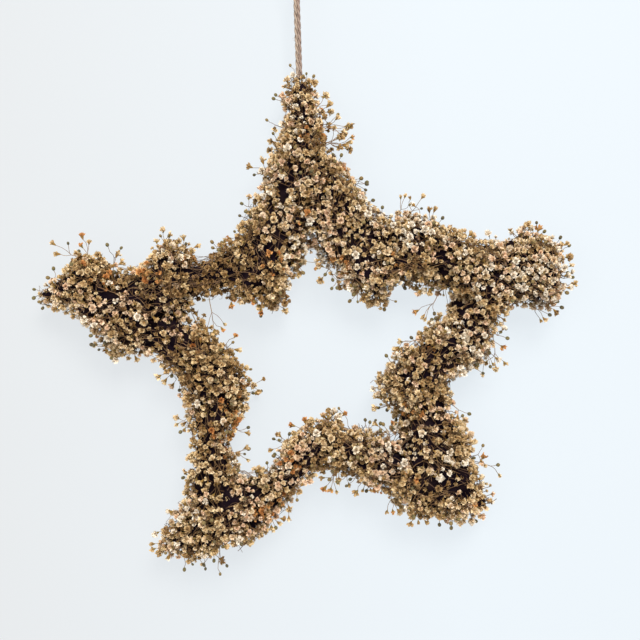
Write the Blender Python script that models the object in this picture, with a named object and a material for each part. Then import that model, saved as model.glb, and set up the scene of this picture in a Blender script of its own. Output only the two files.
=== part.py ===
"""A hanging star of dried baby's breath: fifteen bunches of small flower heads and a jute loop.

The star hangs in the XZ plane and its front faces -Y. The origin is at the top of the twine
loop, where the nail goes. Lengths are metres, apart from the star's outline: that is free form,
drawn in millimetres from the star's centre on a star DRAWN_WIDTH wide, and STAR_WIDTH sizes it.
"""

import math
from dataclasses import dataclass

import bmesh
import bpy
from mathutils import Vector, noise

# The star
STAR_WIDTH = 0.361
DRAWN_WIDTH = 361.0
FRONT_DEPTH = 0.026
BACK_DEPTH = 0.017
FRONT_FULLNESS = 1.05
BACK_FULLNESS = 0.75
EDGE_SQUARENESS = 0.85
SEAM_GAP = 0.0003
SPLIT_OVERLAP = 0.005

# The lumps that the flower heads make
HEAD_PITCH = 0.0171
HEAD_RELIEF = 0.0042
HEAD_VARIATION = 0.003
FULL_RELIEF_HALF_WIDTH = 0.020
ROWS_PER_HEAD = 3

# The hanging loop
TWINE_DIAMETER = 0.002
TWINE_RISE = 0.084
EYE_RADIUS = 0.005
EYE_HEIGHT = 0.026
LEG_PITCH = 0.0023
TWINE_POINTS = 64
TWINE_SIDES_RESOLUTION = 2

MM = STAR_WIDTH / DRAWN_WIDTH


@dataclass(frozen=True)
class Tip:
    """A point of the star. Each line across it runs from its counterclockwise to its clockwise edge."""

    name: str
    shoulder: tuple
    apex: tuple
    lines: tuple


@dataclass(frozen=True)
class Limb:
    """One side of a point. Each line across it runs from its outer edge to the star's opening."""

    name: str
    tip: Tip
    clockwise: bool
    lines: tuple
    bend: tuple


TOP = Tip(
    "top_tip",
    shoulder=((-36, 86), (47, 88)),
    apex=(5, 69),
    lines=(
        ((-32, 99), (42, 101)),
        ((-29, 113), (31, 113)),
        ((-23, 125), (23, 124)),
        ((-15, 140), (20, 140)),
        ((-13, 156), (13, 156)),
        ((-9, 174), (9, 174)),
    ),
)
RIGHT = Tip(
    "right_tip",
    shoulder=((104, 68), (127, -4)),
    apex=(105, 25),
    lines=(
        ((128, 60), (143, 13)),
        ((150, 67), (156, 8)),
        ((167, 62), (170, 16)),
        ((176, 49), (177, 30)),
    ),
)
LOWER_RIGHT = Tip(
    "lower_right_tip",
    shoulder=((109, -70), (46, -109)),
    apex=(66, -81),
    lines=(((114, -92), (66, -128)), ((119, -107), (90, -131)), ((126, -117), (112, -127))),
)
LOWER_LEFT = Tip(
    "lower_left_tip",
    shoulder=((-38, -138), (-86, -98)),
    apex=(-48, -97),
    lines=(((-60, -143), (-94, -112)), ((-80, -151), (-102, -124)), ((-97, -148), (-107, -136))),
)
LEFT = Tip(
    "left_tip",
    shoulder=((-104, -13), (-99, 66)),
    apex=(-88, 14),
    lines=(
        ((-130, -11), (-122, 49)),
        ((-144, 2), (-142, 62)),
        ((-160, 18), (-158, 57)),
        ((-183, 26), (-182, 38)),
    ),
)
TIPS = (TOP, RIGHT, LOWER_RIGHT, LOWER_LEFT, LEFT)

# The five bends between the points, each from the outer notch to the corner of the opening
UPPER_RIGHT_BEND = ((53, 81), (46, 18))
RIGHT_BEND = ((97, -38), (43, -37))
BOTTOM_BEND = ((4, -95), (10, -54))
LEFT_BEND = ((-89, -28), (-40, -36))
UPPER_LEFT_BEND = ((-45, 74), (-16, 16))

LIMBS = (
    Limb(
        "top_right_limb",
        TOP,
        clockwise=True,
        lines=(((49, 86), (5, 69)), ((50, 85), (11, 47)), ((52, 83), (26, 26))),
        bend=UPPER_RIGHT_BEND,
    ),
    Limb(
        "right_upper_limb",
        RIGHT,
        clockwise=False,
        lines=(((99, 71), (105, 25)), ((86, 77), (84, 26)), ((69, 82), (62, 28))),
        bend=UPPER_RIGHT_BEND,
    ),
    Limb(
        "right_lower_limb",
        RIGHT,
        clockwise=True,
        lines=(
            ((125, -11), (105, 25)),
            ((121, -19), (87, 11)),
            ((115, -27), (68, -4)),
            ((104, -31), (52, -21)),
        ),
        bend=RIGHT_BEND,
    ),
    Limb(
        "lower_right_upper_limb",
        LOWER_RIGHT,
        clockwise=False,
        lines=(((106, -65), (66, -81)), ((99, -54), (54, -57))),
        bend=RIGHT_BEND,
    ),
    Limb(
        "lower_right_lower_limb",
        LOWER_RIGHT,
        clockwise=True,
        lines=(((40, -104), (66, -81)), ((26, -99), (38, -62))),
        bend=BOTTOM_BEND,
    ),
    Limb(
        "lower_left_lower_limb",
        LOWER_LEFT,
        clockwise=False,
        lines=(((-31, -132), (-48, -97)), ((-21, -122), (-32, -88)), ((-9, -107), (-16, -68))),
        bend=BOTTOM_BEND,
    ),
    Limb(
        "lower_left_upper_limb",
        LOWER_LEFT,
        clockwise=True,
        lines=(((-86, -88), (-48, -97)), ((-85, -72), (-52, -72)), ((-85, -52), (-46, -52))),
        bend=LEFT_BEND,
    ),
    Limb(
        "left_lower_limb",
        LEFT,
        clockwise=False,
        lines=(((-102, -17), (-88, 14)), ((-96, -23), (-64, 9)), ((-92, -26), (-48, -10))),
        bend=LEFT_BEND,
    ),
    Limb(
        "left_upper_limb",
        LEFT,
        clockwise=True,
        lines=(((-89, 69), (-88, 14)), ((-74, 56), (-72, 24)), ((-58, 63), (-46, 26))),
        bend=UPPER_LEFT_BEND,
    ),
    Limb(
        "top_left_limb",
        TOP,
        clockwise=False,
        lines=(((-38, 84), (5, 69)), ((-41, 80), (-5, 40))),
        bend=UPPER_LEFT_BEND,
    ),
)

TIP_TOP = max(z for line in TOP.lines for x, z in line) * MM
STAR_CENTRE = Vector((0, 0, -TWINE_RISE - TIP_TOP))


def place(point):
    """The part's own position of a point drawn in the outline's millimetres."""
    return STAR_CENTRE + Vector((point[0], 0, point[1])) * MM


def foot(apex, shoulder):
    """Where the line from the opening's apex square to the shoulder meets it."""
    start, end = (place(p) for p in shoulder)
    along = (end - start).normalized()
    return start + along * (place(apex) - start).dot(along)


def rings_between(lines):
    """The lines across a bunch, with more laid evenly between them."""
    rings = [lines[0]]
    for (a, b), (c, d) in zip(lines, lines[1:]):
        distance = ((c + d) / 2 - (a + b) / 2).length
        steps = max(1, round(distance / (HEAD_PITCH / ROWS_PER_HEAD)))
        rings += [(a.lerp(c, k / steps), b.lerp(d, k / steps)) for k in range(1, steps + 1)]
    return rings


def head_relief(row, column, half_width):
    """How far the bunch stands out here: each head is two rows high and wide, with a dip before the next."""
    head_row = row // ROWS_PER_HEAD
    turned = column + head_row
    dips = (row % ROWS_PER_HEAD == 2) + (turned % ROWS_PER_HEAD == 2)
    head = Vector((head_row, turned // ROWS_PER_HEAD, half_width)) + Vector((0.5, 0.5, 0.5))
    height = HEAD_RELIEF * (0.5, -0.25, -0.5)[dips] + HEAD_VARIATION * (noise.cell(head) - 0.5)
    return height * min(1.0, half_width / FULL_RELIEF_HALF_WIDTH)


def sides_of(rings):
    """Three sides for each head round the bunch's middle size."""
    half_width = sum((b - a).length for a, b in rings) / len(rings) / 2
    girth = math.pi * (half_width + (FRONT_DEPTH + BACK_DEPTH) / 2)
    return ROWS_PER_HEAD * round(girth / HEAD_PITCH)


def ring_corner(a, b, row, column, sides):
    """A point of the rounded section whose two edges are a and b, with the head or the dip there."""
    turn = math.tau * column / sides
    middle = (a + b) / 2
    half_width = (b - a).length / 2
    across = (b - a).normalized()
    front = min(FRONT_DEPTH, FRONT_FULLNESS * half_width)
    back = min(BACK_DEPTH, BACK_FULLNESS * half_width)
    u = math.copysign(abs(math.cos(turn)) ** EDGE_SQUARENESS, math.cos(turn))
    v = math.copysign(abs(math.sin(turn)) ** EDGE_SQUARENESS, math.sin(turn))
    offset = across * half_width * u - Vector((0, 1, 0)) * (front if v > 0 else back) * v
    return middle + offset + offset.normalized() * head_relief(row, column, half_width)


def keep_clear(point, on_plane, away):
    """Moves a point that lies too near the plane between two bunches back to half the seam's gap."""
    short = SEAM_GAP / 2 - (point - on_plane).dot(away)
    return point + away * max(0.0, short)


def loft(name, lines, material, collection, split=None):
    """A closed lumpy bunch through the lines across it, its two ends flat."""
    form = bmesh.new()
    loops = []
    rings = rings_between(lines)
    sides = sides_of(rings)
    for row, (a, b) in enumerate(rings):
        corners = [ring_corner(a, b, row, column, sides) for column in range(sides)]
        if split:
            corners = [keep_clear(corner, *split) for corner in corners]
        verts = [form.verts.new(corner) for corner in corners]
        loops.append([form.edges.new((v, w)) for v, w in zip(verts, verts[1:] + verts[:1])])
    for one, other in zip(loops, loops[1:]):
        bmesh.ops.bridge_loops(form, edges=one + other)
    for end in (loops[0], loops[-1]):
        bmesh.ops.edgeloop_fill(form, edges=end)
    bmesh.ops.triangulate(form, faces=form.faces)
    bmesh.ops.recalc_face_normals(form, faces=form.faces)
    if form.calc_volume(signed=True) < 0:
        bmesh.ops.reverse_faces(form, faces=form.faces)
    mesh = bpy.data.meshes.new(name)
    form.to_mesh(mesh)
    form.free()
    mesh.shade_smooth()
    mesh.materials.append(material)
    collection.objects.link(bpy.data.objects.new(name, mesh))


def shifted(line, by):
    """A line across a bunch, moved."""
    return (line[0] + by, line[1] + by)


def square_to(line, towards):
    """The unit direction square to a line across a bunch, on the side of the point given."""
    along = (line[1] - line[0]).normalized()
    side = Vector((along.z, 0, -along.x))
    return side if (towards - line[0]).dot(side) > 0 else -side


def make_tip(tip, material, collection):
    """The bunch that covers a point of the star beyond its shoulder."""
    lines = [tuple(place(p) for p in line) for line in (tip.shoulder, *tip.lines)]
    outward = square_to(lines[0], lines[-1][0])
    lines[0] = shifted(lines[0], outward * SEAM_GAP / 2)
    loft(tip.name, lines, material, collection)


def make_limb(limb, material, collection):
    """The bunch from a point's shoulder to the middle of the bend beside it."""
    tip = limb.tip
    middle = foot(tip.apex, tip.shoulder)
    outer = place(tip.shoulder[1 if limb.clockwise else 0])
    lines = [(outer, middle)] + [tuple(place(p) for p in line) for line in (*limb.lines, limb.bend)]
    inward = square_to(lines[0], lines[-1][1])
    back = square_to(lines[-1], lines[0][0])
    away = square_to((middle, place(tip.apex)), outer)
    lines[0] = shifted(lines[0], inward * SEAM_GAP / 2)
    lines[-1] = shifted(lines[-1], back * SEAM_GAP / 2)
    for k in (0, 1):
        edge, inner = lines[k]
        lines[k] = (edge, inner + (inner - edge).normalized() * SPLIT_OVERLAP)
    loft(limb.name, lines, material, collection, split=(middle, away))


def twine_route():
    """The middle of the twine, from one leg's end up round the eye and down the other leg."""
    leg = LEG_PITCH / 2
    neck_bottom = -EYE_HEIGHT
    leg_end = -TWINE_RISE + SEAM_GAP
    left = [Vector((-leg, 0, leg_end + (neck_bottom - leg_end) * share)) for share in (0, 0.25, 0.5, 0.75)]
    for share in (0, 0.15, 0.3, 0.45, 0.6, 0.75, 0.9):
        opened = (EYE_RADIUS - leg) * (0.5 - 0.5 * math.cos(math.pi * share))
        left.append(Vector((-leg - opened, 0, neck_bottom * (1 - share) - EYE_RADIUS * share)))
    for turn in (0, 15, 30, 45, 60, 75, 90):
        angle = math.radians(turn)
        left.append(Vector((-EYE_RADIUS * math.cos(angle), 0, EYE_RADIUS * (math.sin(angle) - 1))))
    right = [Vector((-p.x, p.y, p.z)) for p in reversed(left[:-1])]
    return evenly_laid(smooth_curve(left + right), TWINE_POINTS)


def smooth_curve(points, steps=8):
    """Points close together on the Catmull-Rom curve through the points given."""
    ends = [points[0] * 2 - points[1], *points, points[-1] * 2 - points[-2]]
    fine = []
    for p, q, r, s in zip(ends, ends[1:], ends[2:], ends[3:]):
        for k in range(steps):
            t = k / steps
            bend = (p * 2 - q * 5 + r * 4 - s) * t**2 + (q * 3 - p - r * 3 + s) * t**3
            fine.append(q + ((r - p) * t + bend) / 2)
    return [*fine, points[-1]]


def evenly_laid(points, count):
    """This many points, evenly spaced along the polyline."""
    travelled = [0.0]
    for p, q in zip(points, points[1:]):
        travelled.append(travelled[-1] + (q - p).length)
    laid = []
    index = 0
    for k in range(count):
        goal = travelled[-1] * k / (count - 1)
        while index < len(points) - 2 and travelled[index + 1] < goal:
            index += 1
        span = travelled[index + 1] - travelled[index]
        laid.append(points[index].lerp(points[index + 1], (goal - travelled[index]) / span))
    return laid


def make_twine(material, collection):
    """One length of jute twine, doubled, its two ends meeting the top of the star."""
    curve = bpy.data.curves.new("twine_loop", "CURVE")
    curve.dimensions = "3D"
    curve.bevel_depth = TWINE_DIAMETER / 2
    curve.bevel_resolution = TWINE_SIDES_RESOLUTION
    curve.use_fill_caps = True
    route = twine_route()
    spline = curve.splines.new("POLY")
    spline.points.add(len(route) - 1)
    for point, position in zip(spline.points, route):
        point.co = (*position, 1)
    curve.materials.append(material)
    collection.objects.link(bpy.data.objects.new("twine_loop", curve))


def make_material(name, colour, roughness):
    """A plain dry finish."""
    material = bpy.data.materials.new(name)
    material.use_nodes = True
    shader = material.node_tree.nodes["Principled BSDF"]
    shader.inputs["Base Color"].default_value = (*colour, 1)
    shader.inputs["Roughness"].default_value = roughness
    shader.inputs["Metallic"].default_value = 0
    return material


def main():
    for old in list(bpy.data.objects):
        bpy.data.objects.remove(old)
    wreath = bpy.data.collections.new("dried_flower_star_wreath")
    bpy.context.scene.collection.children.link(wreath)
    flowers = make_material("dried_flowers", (0.45, 0.32, 0.18), 0.9)
    jute = make_material("jute_twine", (0.40, 0.30, 0.21), 0.9)
    for tip in TIPS:
        make_tip(tip, flowers, wreath)
    for limb in LIMBS:
        make_limb(limb, flowers, wreath)
    make_twine(jute, wreath)


main()
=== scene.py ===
"""Dried flower star wreath on a doubled jute loop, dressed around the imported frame.

The row frame is in metres, with its origin at the top of the loop, +Z up and +X to the right seen
from the front. The front faces -Y and the wall is at +Y.
"""

import logging
import math
from collections.abc import Callable, Iterable, Sequence
from dataclasses import dataclass, field
from enum import Enum
from typing import Any, ClassVar

import bmesh
import bpy
import numpy as np
from mathutils import Matrix, Vector, noise
from mathutils.bvhtree import BVHTree


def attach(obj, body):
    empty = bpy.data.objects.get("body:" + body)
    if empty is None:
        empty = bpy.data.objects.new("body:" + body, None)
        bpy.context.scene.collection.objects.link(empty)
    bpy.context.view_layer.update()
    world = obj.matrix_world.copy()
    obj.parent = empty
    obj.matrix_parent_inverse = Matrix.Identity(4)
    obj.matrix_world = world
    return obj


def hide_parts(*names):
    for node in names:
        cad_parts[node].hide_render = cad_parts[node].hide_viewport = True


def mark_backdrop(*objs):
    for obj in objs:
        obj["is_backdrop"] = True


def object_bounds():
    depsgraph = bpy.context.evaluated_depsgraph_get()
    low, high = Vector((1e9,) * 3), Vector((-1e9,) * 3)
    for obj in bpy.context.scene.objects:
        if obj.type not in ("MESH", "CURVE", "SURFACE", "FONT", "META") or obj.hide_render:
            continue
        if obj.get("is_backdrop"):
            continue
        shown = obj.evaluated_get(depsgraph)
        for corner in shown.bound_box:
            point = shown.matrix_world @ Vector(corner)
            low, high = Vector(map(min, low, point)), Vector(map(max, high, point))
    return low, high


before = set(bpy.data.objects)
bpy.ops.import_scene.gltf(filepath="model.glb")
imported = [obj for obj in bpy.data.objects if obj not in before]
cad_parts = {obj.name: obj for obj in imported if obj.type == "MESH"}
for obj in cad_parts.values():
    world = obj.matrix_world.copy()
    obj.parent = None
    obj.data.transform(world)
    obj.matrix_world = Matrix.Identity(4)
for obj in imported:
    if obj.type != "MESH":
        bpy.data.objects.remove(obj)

MM = 0.001
UV_NAME = "OFBake"
BLOOM_LAYER = "bloom"
CLEFT_SHADE_LAYER = "relief"
BODY = "root"
STAR_CENTRE = Vector((0, 0, -0.258))
PETAL_WIDTH = 0.014
STRIP_ROOM = 0.85
STRIP_WIDTH = 0.15
MAP_FOOT = 0.01
MAP_HEIGHT = 0.98
GOLDEN_ANGLE = 2.39996
Colour = tuple[float, float, float, float]
Stops = tuple[tuple[float, Colour], ...]

log = logging.getLogger("wreath")


def linear(red: float, green: float, blue: float) -> Colour:
    """Turns a screen colour into the shader's own.

    Args:
        red: Screen red, 0 to 255.
        green: Screen green, 0 to 255.
        blue: Screen blue, 0 to 255.

    Returns:
        The linear colour with full alpha.
    """
    shares = (value / 255 for value in (red, green, blue))
    return (*(s / 12.92 if s <= 0.04045 else ((s + 0.055) / 1.055) ** 2.4 for s in shares), 1.0)


@dataclass(frozen=True)
class View:
    """The photograph's view of the wreath, square to it and rolled a little."""

    target: tuple[float, float, float] = (0.0085, 0.0, -0.2481)
    roll: float = math.atan2(12, 353)
    width: float = 0.4352
    pixels: int = 640
    lens: float = 50.0
    sensor: float = 36.0

    @property
    def distance(self) -> float:
        """How far the camera is from the wreath's middle plane."""
        return self.width * self.lens / self.sensor

    @property
    def turn(self) -> Matrix:
        """The camera's turn: its right, up and backward directions as columns."""
        cosine, sine = math.cos(self.roll), math.sin(self.roll)
        return Matrix(((cosine, sine, 0), (0, 0, -1), (-sine, cosine, 0)))

    def point(self, across: float, down: float, depth: float = 0.0) -> Vector:
        """Finds the point that is seen at a place in the picture.

        Args:
            across: Pixels from the picture's left edge.
            down: Pixels from its top edge.
            depth: The point's y in the row frame.

        Returns:
            The point in the row frame.
        """
        scale = self.width / self.pixels * (self.distance + depth) / self.distance
        middle = self.pixels / 2
        offset = self.turn @ Vector(((across - middle) * scale, (middle - down) * scale, 0))
        return Vector(self.target) + offset + Vector((0, depth, 0))

    def seen(self, point: Vector) -> tuple[float, float]:
        """Finds where in the picture a point of the row frame is seen, in pixels."""
        offset = self.turn.transposed() @ (point - Vector(self.target))
        scale = self.width / self.pixels * (self.distance + point.y) / self.distance
        middle = self.pixels / 2
        return middle + offset.x / scale, middle - offset.y / scale


VIEW = View()


class Term:
    """An output socket in shader maths, to which Python's operators add Math nodes."""

    def __init__(self, graph: "Graph", socket: bpy.types.NodeSocket) -> None:
        """Wraps one output socket of a graph."""
        self.graph = graph
        self.socket = socket

    def _join(self, operation: str, left: Any, right: Any) -> "Term":
        """Adds one Math node on two operands."""
        node = self.graph.add("ShaderNodeMath", {"operation": operation}, {0: left, 1: right})
        return Term(self.graph, node.outputs[0])

    def __add__(self, other: Any) -> "Term":
        """Adds."""
        return self._join("ADD", self, other)

    def __sub__(self, other: Any) -> "Term":
        """Subtracts."""
        return self._join("SUBTRACT", self, other)

    def __mul__(self, other: Any) -> "Term":
        """Multiplies."""
        return self._join("MULTIPLY", self, other)

    def __truediv__(self, other: Any) -> "Term":
        """Divides."""
        return self._join("DIVIDE", self, other)


class Graph:
    """The node tree of one new material."""

    def __init__(self, name: str) -> None:
        """Starts the material with nothing but its output."""
        self.material = bpy.data.materials.new(name)
        self.material.use_nodes = True
        self.tree = self.material.node_tree
        self.tree.nodes.clear()
        self.output = self.tree.nodes.new("ShaderNodeOutputMaterial")

    def add(
        self,
        kind: str,
        settings: dict[str, Any] | None = None,
        inputs: dict[str | int, Any] | None = None,
    ) -> bpy.types.Node:
        """Adds one node.

        Args:
            kind: The node's Blender type.
            settings: Its properties; "stops" holds a colour ramp's positions and colours.
            inputs: A value, a Term or an output socket for each input it names.

        Returns:
            The node.
        """
        node = self.tree.nodes.new(kind)
        for name, setting in (settings or {}).items():
            if name == "stops":
                elements = node.color_ramp.elements
                while len(elements) < len(setting):
                    elements.new(1.0)
                for element, (position, colour) in zip(elements, setting):
                    element.position = position
                    element.color = colour
            else:
                setattr(node, name, setting)
        for key, value in (inputs or {}).items():
            if isinstance(value, Term):
                value = value.socket
            if isinstance(value, bpy.types.NodeSocket):
                self.tree.links.new(value, node.inputs[key])
            else:
                node.inputs[key].default_value = value
        return node

    def uv(self) -> tuple[Term, Term]:
        """Gives the two coordinates of the piece's own UV map."""
        place = self.add("ShaderNodeUVMap", {"uv_map": UV_NAME})
        parts = self.add("ShaderNodeSeparateXYZ", None, {0: place.outputs[0]})
        return Term(self, parts.outputs[0]), Term(self, parts.outputs[1])

    def noise(self, vector: Any, detail: float = 2.0) -> Term:
        """Gives a noise of about 0.5 on average at a vector."""
        inputs = {"Vector": vector, "Scale": 1.0, "Detail": detail}
        return Term(self, self.add("ShaderNodeTexNoise", None, inputs).outputs[0])

    def vector(self, x: Any, y: Any) -> bpy.types.NodeSocket:
        """Puts two numbers together as a vector."""
        return self.add("ShaderNodeCombineXYZ", None, {0: x, 1: y}).outputs[0]

    def mix(self, share: Any, low: Any, high: Any, blend: str = "MIX") -> bpy.types.NodeSocket:
        """Mixes two colours."""
        settings = {"data_type": "RGBA", "blend_type": blend, "clamp_factor": True}
        return self.add("ShaderNodeMix", settings, {0: share, 6: low, 7: high}).outputs[2]

    def shade(self, colour: Any, roughness: float, gloss: float) -> bpy.types.Material:
        """Ends the material in a Principled shader."""
        inputs = {"Base Color": colour, "Roughness": roughness, "Specular IOR Level": gloss}
        shader = self.add("ShaderNodeBsdfPrincipled", None, inputs)
        self.tree.links.new(shader.outputs[0], self.output.inputs["Surface"])
        return self.material


class Band(Enum):
    """The strip of the flower pieces' UV map that one kind of surface has to itself."""

    PETAL = (0.00, 0.68)
    CALYX = (0.70, 0.08)
    STEM = (0.80, 0.08)
    BUD = (0.90, 0.04)
    HEART = (0.955, 0.04)

    def at(self, share: float) -> float:
        """Gives the place at a share of the strip's width."""
        return self.value[0] + self.value[1] * share


class Coat(Enum):
    """The finish a face of a flower piece takes, by its material's place in the mesh."""

    PETALS = 0
    GREENS = 1
    HEART = 2


BAND_COAT = {
    Band.PETAL: Coat.PETALS,
    Band.CALYX: Coat.GREENS,
    Band.STEM: Coat.GREENS,
    Band.BUD: Coat.GREENS,
    Band.HEART: Coat.HEART,
}


@dataclass(frozen=True)
class PetalFinish:
    """Papery dried petals, from orange-brown through tan and cream to near-white."""

    tints: Stops = (
        (0.00, linear(196, 126, 68)),
        (0.05, linear(216, 162, 100)),
        (0.09, linear(148, 116, 76)),
        (0.24, linear(186, 154, 106)),
        (0.42, linear(213, 183, 134)),
        (0.60, linear(231, 207, 162)),
        (0.76, linear(241, 219, 182)),
        (0.86, linear(241, 208, 176)),
        (0.94, linear(246, 232, 206)),
        (1.00, linear(250, 241, 224)),
    )
    # Painted shade: the dark brown the petals take towards their feet, deep in the throat.
    throat_shade: Colour = linear(154, 114, 70)
    crinkles: tuple[float, float] = (240.0, 4.0)
    unevenness: float = 1.7
    opening: tuple[float, float] = (0.06, 1.3)
    roughness: float = 0.82
    gloss: float = 0.25

    def material(self) -> bpy.types.Material:
        """Makes the material, whose tint follows u and which falls with v to a dark brown towards
        the petals' feet, as painted shade in the throat and between the petals.
        """
        graph = Graph("dried_petals")
        u, v = graph.uv()
        tint = graph.add(
            "ShaderNodeValToRGB", {"stops": self.tints}, {0: u / Band.PETAL.value[1]}
        ).outputs[0]
        crinkle = graph.noise(graph.vector(u * self.crinkles[0], v * self.crinkles[1]))
        # Low v and the crinkle noise pull the tint into the painted shade colour.
        opened = (v + self.opening[0]) * self.opening[1] + (crinkle - 0.5) * self.unevenness
        return graph.shade(graph.mix(opened, self.throat_shade, tint), self.roughness, self.gloss)


@dataclass(frozen=True)
class GreensFinish:
    """Calyces, stems and buds: olive to brown, dull grey-brown and dark grey-green."""

    stops: Stops = (
        (0.700, linear(150, 108, 48)),
        (0.740, linear(136, 112, 54)),
        (0.780, linear(104, 94, 48)),
        (0.800, linear(104, 70, 52)),
        (0.840, linear(132, 102, 68)),
        # The dark stem colour here is painted shade, which the stalks deep in the gaps mostly take.
        (0.885, linear(56, 34, 34)),
        (0.900, linear(142, 116, 74)),
        (0.920, linear(100, 96, 64)),
        (0.940, linear(58, 62, 50)),
    )
    pale: Colour = linear(150, 118, 70)
    shade_lift: float = 0.35
    blotches: tuple[float, float] = (300.0, 9.0)
    unevenness: float = 0.5
    roughness: float = 0.75
    gloss: float = 0.3

    def material(self) -> bpy.types.Material:
        """Makes the material, whose colour follows u and pales with v: painted shade, dark deep
        down at the roots and lighter up at the tops.
        """
        graph = Graph("dried_greens")
        u, v = graph.uv()
        tone = graph.add("ShaderNodeValToRGB", {"stops": self.stops}, {0: u}).outputs[0]
        blotch = graph.noise(graph.vector(u * self.blotches[0], v * self.blotches[1]))
        share = v * self.shade_lift + (blotch - 0.5) * self.unevenness
        return graph.shade(graph.mix(share, tone, self.pale), self.roughness, self.gloss)


@dataclass(frozen=True)
class HeartFinish:
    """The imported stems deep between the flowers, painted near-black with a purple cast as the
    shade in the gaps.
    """

    dark: Colour = linear(12, 3, 15)
    light: Colour = linear(84, 62, 46)
    roughness: float = 0.9
    gloss: float = 0.1

    def material(self) -> bpy.types.Material:
        """Makes the material, lighter towards v of 1."""
        graph = Graph("packed_stems_shade")
        _, v = graph.uv()
        return graph.shade(
            graph.mix(v * v, self.dark, self.light), self.roughness, self.gloss
        )


@dataclass(frozen=True)
class JuteFinish:
    """Rough two-ply jute, beige on one leg and darker on the other."""

    light: Colour = linear(166, 148, 132)
    dark: Colour = linear(150, 130, 118)
    # Painted shade in the clefts between the plies.
    cleft_shade: Colour = linear(66, 50, 44)
    change: tuple[float, float] = (0.46, 0.54)
    lift: float = 1.1
    streaks: tuple[float, float, float] = (14.0, 60.0, 34.0)
    unevenness: float = 2.8
    roughness: float = 0.9
    gloss: float = 0.2

    def material(self) -> bpy.types.Material:
        """Makes the material: v runs along the twine, u round each ply, and the clefts between the
        plies are painted dark as shade.
        """
        graph = Graph("jute_fibres")
        u, v = graph.uv()
        start, end = self.change
        leg = graph.add("ShaderNodeMapRange", None, {"Value": v, 1: start, 2: end}).outputs[0]
        ground = graph.mix(leg, self.light, self.dark)
        relief = graph.add("ShaderNodeAttribute", {"attribute_name": CLEFT_SHADE_LAYER})
        unshaded = Term(graph, relief.outputs["Fac"])
        round_ply, slant, along = self.streaks
        strands = graph.noise(graph.vector(u * round_ply + v * slant, v * along), 3.0)
        share = unshaded * self.lift + (strands - 0.5) * self.unevenness
        return graph.shade(graph.mix(share, self.cleft_shade, ground), self.roughness, self.gloss)


@dataclass(frozen=True)
class StageFinish:
    """A pale stage surface that mostly glows, as painted light, with a small matt share that
    catches faint shadows, which only its front side shows.
    """

    name: str
    left: Colour
    right: Colour
    glow: float = 0.82
    matt: float = 0.11
    blend: tuple[float, float] = (3.0, 0.7)

    def material(self) -> bpy.types.Material:
        """Makes the material, which lets everything through from behind."""
        graph = Graph(self.name)
        place = graph.add("ShaderNodeTexCoord").outputs["Object"]
        x = Term(graph, graph.add("ShaderNodeSeparateXYZ", None, {0: place}).outputs[0])
        colour = graph.mix(x * self.blend[0] + self.blend[1], self.left, self.right)
        dimmed = graph.mix(1.0, colour, (self.matt,) * 3 + (1.0,), "MULTIPLY")
        matt = graph.add("ShaderNodeBsdfDiffuse", None, {"Color": dimmed})
        # Painted light: the wall glows by itself, lighting the wreath from behind and washing out
        # most of its shadow.
        glow = graph.add("ShaderNodeEmission", None, {"Color": colour, "Strength": self.glow})
        lit = graph.add("ShaderNodeAddShader", None, {0: matt.outputs[0], 1: glow.outputs[0]})
        clear = graph.add("ShaderNodeBsdfTransparent")
        behind = graph.add("ShaderNodeNewGeometry").outputs["Backfacing"]
        shader = graph.add(
            "ShaderNodeMixShader", None, {0: behind, 1: lit.outputs[0], 2: clear.outputs[0]}
        )
        graph.tree.links.new(shader.outputs[0], graph.output.inputs["Surface"])
        return graph.material


def fresh() -> bmesh.types.BMesh:
    """Starts a bmesh with the UV map and the face layer that every flower mesh has."""
    bm = bmesh.new()
    bm.loops.layers.uv.new(UV_NAME)
    bm.faces.layers.int.new(BLOOM_LAYER)
    return bm


def paint(
    bm: bmesh.types.BMesh,
    faces: Iterable[bmesh.types.BMFace],
    band: Band,
    share: Callable[[bmesh.types.BMVert], float],
    across: float = 0.5,
) -> None:
    """Lays faces in a strip of the UV map and gives them its finish.

    Args:
        bm: The mesh.
        faces: The faces to lay.
        band: The strip.
        share: Gives v for a vertex, 0 at the root of a part and 1 at its edge.
        across: Where in the strip's width the faces lie; petals get theirs when a copy is placed.
    """
    layer = bm.loops.layers.uv[UV_NAME]
    left = 0.0 if band is Band.PETAL else band.at(across * STRIP_ROOM)
    width = PETAL_WIDTH if band is Band.PETAL else band.value[1] * STRIP_WIDTH
    for face in faces:
        face.material_index = BAND_COAT[band].value
        loops = list(face.loops)
        count = len(loops)
        if band is not Band.PETAL:
            first = min(range(count), key=lambda number: tuple(loops[number].vert.co))
            loops = loops[first:] + loops[:first]
        for number, loop in enumerate(loops):
            height = min(max(share(loop.vert), 0.0), 1.0)
            place = left + width * (number + 0.5) / count
            loop[layer].uv = (place, MAP_FOOT + MAP_HEIGHT * height)


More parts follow.
